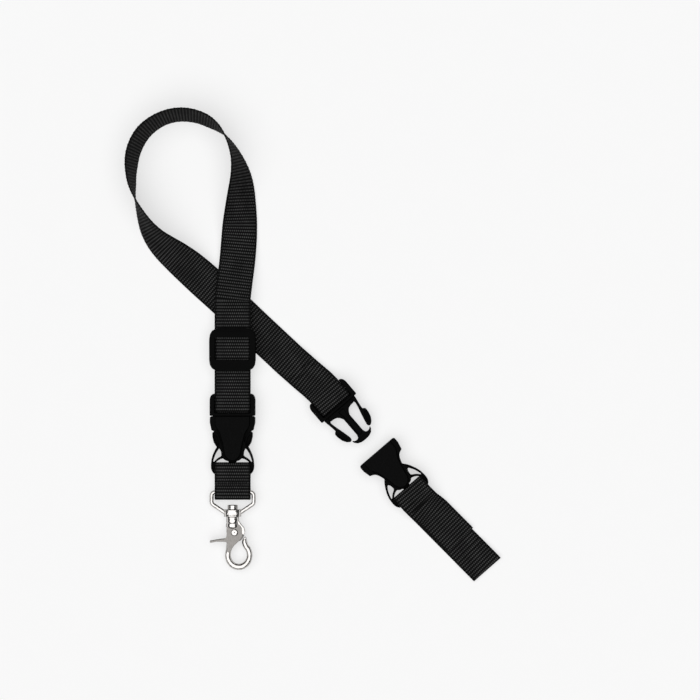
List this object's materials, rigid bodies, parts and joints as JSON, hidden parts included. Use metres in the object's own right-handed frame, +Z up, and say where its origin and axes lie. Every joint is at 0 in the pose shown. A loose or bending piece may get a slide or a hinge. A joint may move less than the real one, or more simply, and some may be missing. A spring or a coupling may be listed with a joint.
{
  "type": "webbing lanyard",
  "caption": "Short flat webbing hand-loop lanyard with a tri-glide slider, side-release buckles and a swivel trigger snap hook.",
  "frame": {"origin": "centre of the bounding box in X and Y, on the plane that the lanyard lies on", "axes": "+Y from the hook towards the hand loop, +X towards the free buckle half, +Z up from the surface it lies on"},
  "size_m": [0.2664, 0.3358, 0.025],
  "materials": {
    "webbing": "matte ribbed nylon webbing",
    "buckle_plastic": "fine grained black moulding",
    "nickel": "bright nickel plate",
    "spring_steel": "drawn wire"
  },
  "bodies": {
    "strap": {"main_strap": "webbing", "slider_feed_webbing": "webbing"},
    "slider": {"slider_frame": "buckle_plastic", "slider_sewn_end": "webbing"},
    "male_a": {"male_a_frame": "buckle_plastic"},
    "arm_a_left": {"male_a_left_arm": "buckle_plastic"},
    "arm_a_right": {"male_a_right_arm": "buckle_plastic"},
    "female_a": {"female_a_body": "buckle_plastic"},
    "loop_a": {"short_loop_a": "webbing"},
    "bracket": {"bracket": "nickel"},
    "hook": {"hook_body": "nickel", "lever_rivet": "nickel", "trigger_spring": "spring_steel"},
    "lever": {"trigger_lever": "nickel"},
    "male_b": {"male_b_frame": "buckle_plastic"},
    "arm_b_left": {"male_b_left_arm": "buckle_plastic"},
    "arm_b_right": {"male_b_right_arm": "buckle_plastic"},
    "female_b": {"female_b_body": "buckle_plastic"},
    "tail_b": {"tail_webbing_b": "webbing"}
  },
  "joints": [
    {"name": "slider_slide", "type": "slide", "parent": "strap", "child": "slider", "axis": [0, 1, 0], "range_m": [-0.012, 0.02], "deforming": ["slider_feed_webbing"]},
    {"name": "male_a_turn", "type": "hinge", "parent": "strap", "child": "male_a", "pos_m": [-0.05768, -0.04455, 0.00475], "axis": [1, 0, 0], "range_deg": [-40, 40]},
    {"name": "male_a_left_arm_flex", "type": "hinge", "parent": "male_a", "child": "arm_a_left", "pos_m": [-0.07068, -0.05015, 0.00475], "axis": [0, 0, 1], "range_deg": [0, 8], "stiffness_Nm_per_rad": 0.01},
    {"name": "male_a_right_arm_flex", "type": "hinge", "parent": "male_a", "child": "arm_a_right", "pos_m": [-0.04468, -0.05015, 0.00475], "axis": [0, 0, -1], "range_deg": [0, 8], "stiffness_Nm_per_rad": 0.01},
    {"name": "female_a_release", "type": "slide", "parent": "male_a", "child": "female_a", "axis": [0, -1, 0], "range_m": [0, 0.035], "deforming": ["male_a_left_arm", "male_a_right_arm"]},
    {"name": "loop_a_turn", "type": "hinge", "parent": "female_a", "child": "loop_a", "pos_m": [-0.05768, -0.09045, 0.00475], "axis": [1, 0, 0], "range_deg": [-40, 40]},
    {"name": "bracket_turn", "type": "hinge", "parent": "loop_a", "child": "bracket", "pos_m": [-0.05768, -0.10455, 0.00475], "axis": [1, 0, 0], "range_deg": [-60, 60]},
    {"name": "hook_swivel", "type": "hinge", "parent": "bracket", "child": "hook", "pos_m": [-0.05768, -0.11705, 0.00475], "axis": [0, -1, 0], "continuous": true},
    {"name": "lever_pull", "type": "hinge", "parent": "hook", "child": "lever", "pos_m": [-0.05618, -0.13315, 0.00475], "axis": [0, 0, -1], "range_deg": [0, 35], "stiffness_Nm_per_rad": 0.01, "deforming": ["trigger_spring"]},
    {"name": "male_b_turn", "type": "hinge", "parent": "strap", "child": "male_b", "pos_m": [0.01457, -0.0406, 0.00475], "axis": [0.7581, 0.6521, 0], "range_deg": [-40, 40]},
    {"name": "male_b_left_arm_flex", "type": "hinge", "parent": "male_b", "child": "arm_b_left", "pos_m": [0.00836, -0.05333, 0.00475], "axis": [0, 0, 1], "range_deg": [0, 8], "stiffness_Nm_per_rad": 0.01},
    {"name": "male_b_right_arm_flex", "type": "hinge", "parent": "male_b", "child": "arm_b_right", "pos_m": [0.02808, -0.03637, 0.00475], "axis": [0, 0, -1], "range_deg": [0, 8], "stiffness_Nm_per_rad": 0.01},
    {"name": "female_b_release", "type": "slide", "parent": "male_b", "child": "female_b", "axis": [0.6521, -0.7581, 0], "range_m": [-0.0406, 0.02], "deforming": ["male_b_left_arm", "male_b_right_arm"]},
    {"name": "tail_b_turn", "type": "hinge", "parent": "female_b", "child": "tail_b", "pos_m": [0.07097, -0.10618, 0.00475], "axis": [0.7581, 0.6521, 0], "range_deg": [-40, 40]}
  ],
  "couplings": [
    {"joint": "male_a_right_arm_flex", "follows": "male_a_left_arm_flex", "ratio": 1},
    {"joint": "male_b_right_arm_flex", "follows": "male_b_left_arm_flex", "ratio": 1}
  ]
}
